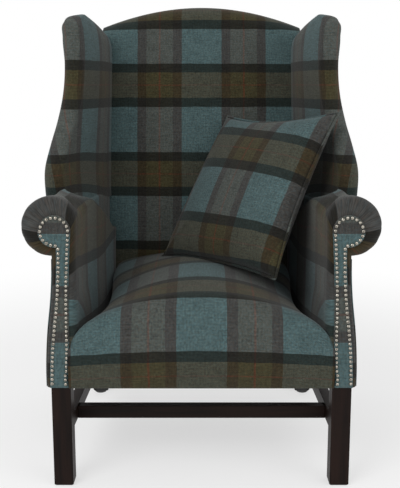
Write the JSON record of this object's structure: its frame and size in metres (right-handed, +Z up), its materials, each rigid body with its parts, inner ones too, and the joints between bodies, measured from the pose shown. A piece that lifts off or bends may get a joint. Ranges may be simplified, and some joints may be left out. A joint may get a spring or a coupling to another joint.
{
  "type": "fireside wing armchair",
  "caption": "High-backed wing armchair with rolled arms, a sprung tight seat, a camel-topped back, square legs with an H stretcher, and a loose scatter cushion.",
  "frame": {"origin": "middle of the whole chair, on the floor under the feet", "axes": "+X to the right as the chair is seen from the front, +Y from front to back, +Z up"},
  "size_m": [0.78, 0.7492, 1.0965],
  "materials": {
    "tartan_wool": "mottled woollen tartan in blue, grey, olive and near-black bands",
    "mahogany": "very dark stained show-wood, satin",
    "beech": "plain sawn frame timber",
    "padding": "felted upholstery padding",
    "webbing": "woven elastic webbing",
    "black_cloth": "thin black lining cloth",
    "black_rubber": "moulded black rubber, matt",
    "spring_steel": "drawn wire and pressed clips"
  },
  "bodies": {
    "chair": {"arm_facing_left": "tartan_wool", "arm_facing_right": "tartan_wool", "arm_pad_left": "padding", "arm_pad_right": "padding", "arm_post_left": "beech", "arm_post_right": "beech", "arm_rail_left": "beech", "arm_rail_right": "beech", "back_leg_left": "mahogany", "back_leg_right": "mahogany", "back_lower_rail": "beech", "back_pad": "padding", "back_post_left": "beech", "back_post_right": "beech", "back_seat_rail": "beech", "back_top_rail": "beech", "back_webbing": "webbing", "corner_blocks": "beech", "cross_stretcher": "mahogany", "dust_cover": "black_cloth", "front_leg_left": "mahogany", "front_leg_right": "mahogany", "front_seat_rail": "beech", "inside_arm_cover_left": "tartan_wool", "inside_arm_cover_right": "tartan_wool", "inside_back_cover": "tartan_wool", "inside_wing_cover_left": "tartan_wool", "inside_wing_cover_right": "tartan_wool", "lower_arm_rail_left": "beech", "lower_arm_rail_right": "beech", "outside_arm_cover_left": "tartan_wool", "outside_arm_cover_right": "tartan_wool", "outside_back_cover": "tartan_wool", "outside_wing_cover_left": "tartan_wool", "outside_wing_cover_right": "tartan_wool", "rail_buffers": "black_rubber", "seat_cover": "tartan_wool", "seat_pad": "padding", "seat_springs": "spring_steel", "side_seat_rail_left": "beech", "side_seat_rail_right": "beech", "side_stretcher_left": "mahogany", "side_stretcher_right": "mahogany", "spring_clips": "spring_steel", "wing_pad_left": "padding", "wing_pad_right": "padding", "wing_post_left": "beech", "wing_post_right": "beech", "wing_top_rail_left": "beech", "wing_top_rail_right": "beech"},
    "scatter_cushion": {"scatter_cushion_cover": "tartan_wool", "scatter_cushion_filling": "padding", "scatter_cushion_piping": "tartan_wool"}
  },
  "joints": [
    {"name": "cushion_lift", "type": "slide", "parent": "chair", "child": "scatter_cushion", "axis": [-0.3004, -0.6007, 0.7409], "range_m": [0, 0.3]}
  ]
}
